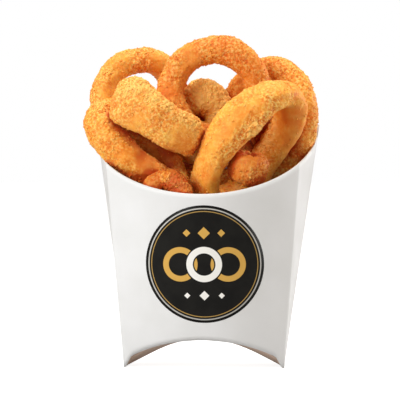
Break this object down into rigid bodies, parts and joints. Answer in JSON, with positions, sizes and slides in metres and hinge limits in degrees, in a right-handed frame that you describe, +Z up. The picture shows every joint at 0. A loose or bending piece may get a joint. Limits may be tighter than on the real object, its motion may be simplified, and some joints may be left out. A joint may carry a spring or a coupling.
{
  "type": "onion rings side",
  "caption": "Side of golden battered onion rings heaped in a folded white paperboard scoop with a dipped front rim and a round printed label.",
  "frame": {"origin": "middle of the whole part's footprint, on the surface that the scoop's two feet stand on", "axes": "+Z up, -Y the scoop's dipped front with the label, +X to the right seen from the front"},
  "size_m": [0.1266, 0.0854, 0.1784],
  "materials": {
    "paperboard": "coated white board with a soft sheen",
    "label_ink": "printed dark disc with thin pale and gold lines",
    "batter": "crumbly fried batter, golden, slightly oily"
  },
  "bodies": {
    "root": {"scoop": "paperboard", "label": "label_ink", "ring_back_left": "batter", "ring_top": "batter", "ring_back_right": "batter", "ring_front": "batter", "ring_middle": "batter", "ring_left": "batter", "ring_inner": "batter", "ring_behind": "batter", "ring_right": "batter", "ring_rim": "batter", "ring_low_back": "batter", "ring_back_inner": "batter", "ring_low_left": "batter"}
  },
  "joints": []
}
